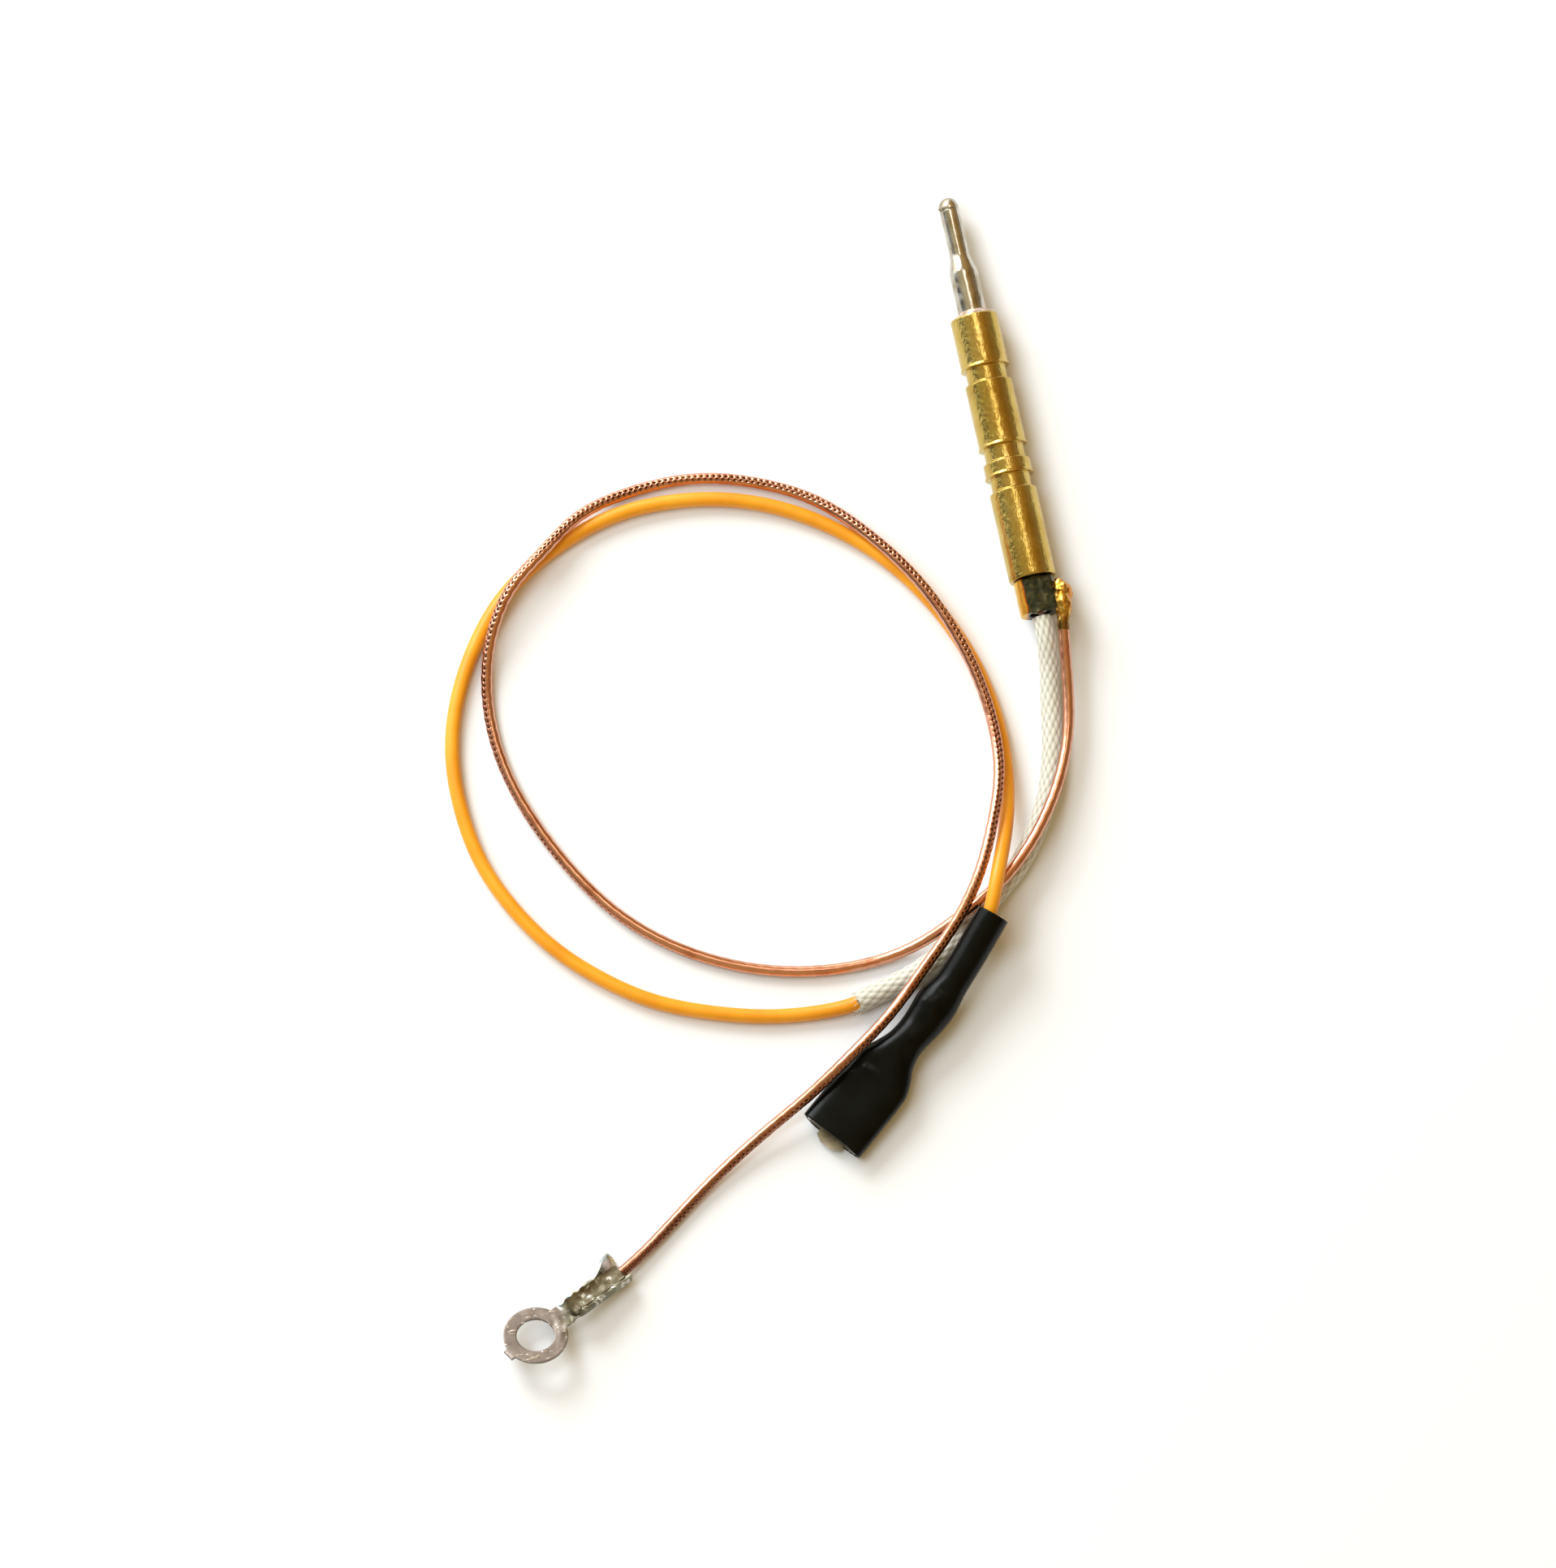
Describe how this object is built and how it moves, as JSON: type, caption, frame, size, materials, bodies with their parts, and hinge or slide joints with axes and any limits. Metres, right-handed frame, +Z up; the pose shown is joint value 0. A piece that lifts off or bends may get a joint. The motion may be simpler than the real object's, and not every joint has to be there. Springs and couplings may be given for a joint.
{
  "type": "thermocouple",
  "caption": "Split-lead gas heater thermocouple: probe in a grooved push-in sleeve, bare copper lead to a ring terminal, insulated lead to a spade receptacle.",
  "frame": {"origin": "under the middle of the probe, brass sleeve and ferrule, on the surface that they rest on", "axes": "+Y along the probe's axis, towards its tip; +Z up from the surface; +X to the right of the probe as seen from above with its tip pointing away"},
  "size_m": [0.089, 0.134, 0.0073],
  "materials": {
    "weld_bead": "satin weld bead",
    "sheath_steel": "polished, with fine drawing lines",
    "constantan": "drawn copper-nickel wire",
    "ceramic_fibre": "matt off-white insulating tube",
    "silver_braze": "bright pinkish braze fillet",
    "yellow_brass": "bright, finely pitted",
    "tinned_brass": "satin tin plate on brass",
    "bright_copper": "bright drawn copper",
    "ferrule_steel": "heat-tinted dark steel",
    "gold_braze": "lumpy bright braze",
    "woven_glass_fibre": "braided white glass fibre",
    "yellow_insulation": "smooth, soft sheen",
    "black_tubing": "satin heat-shrink tubing",
    "tinned_copper": "dull tinned plate with scratches",
    "soft_solder": "solder under a brown flux film"
  },
  "bodies": {
    "root": {"tip_weld_cap": "weld_bead", "probe_sheath": "sheath_steel", "element_wire": "constantan", "body_insulator": "ceramic_fibre", "probe_braze_ring": "silver_braze", "mounting_sleeve": "yellow_brass", "conductor_splice": "tinned_brass", "inner_conductor": "bright_copper", "rear_insulator": "ceramic_fibre", "tail_bush": "ceramic_fibre", "tail_ferrule": "ferrule_steel", "lead_braze": "gold_braze", "copper_lead": "bright_copper", "fibreglass_sleeve": "woven_glass_fibre", "yellow_lead": "yellow_insulation", "heat_shrink": "black_tubing", "spade_receptacle": "tinned_brass", "stripped_conductor": "bright_copper", "ring_terminal": "tinned_copper", "ring_solder": "soft_solder"}
  },
  "joints": []
}
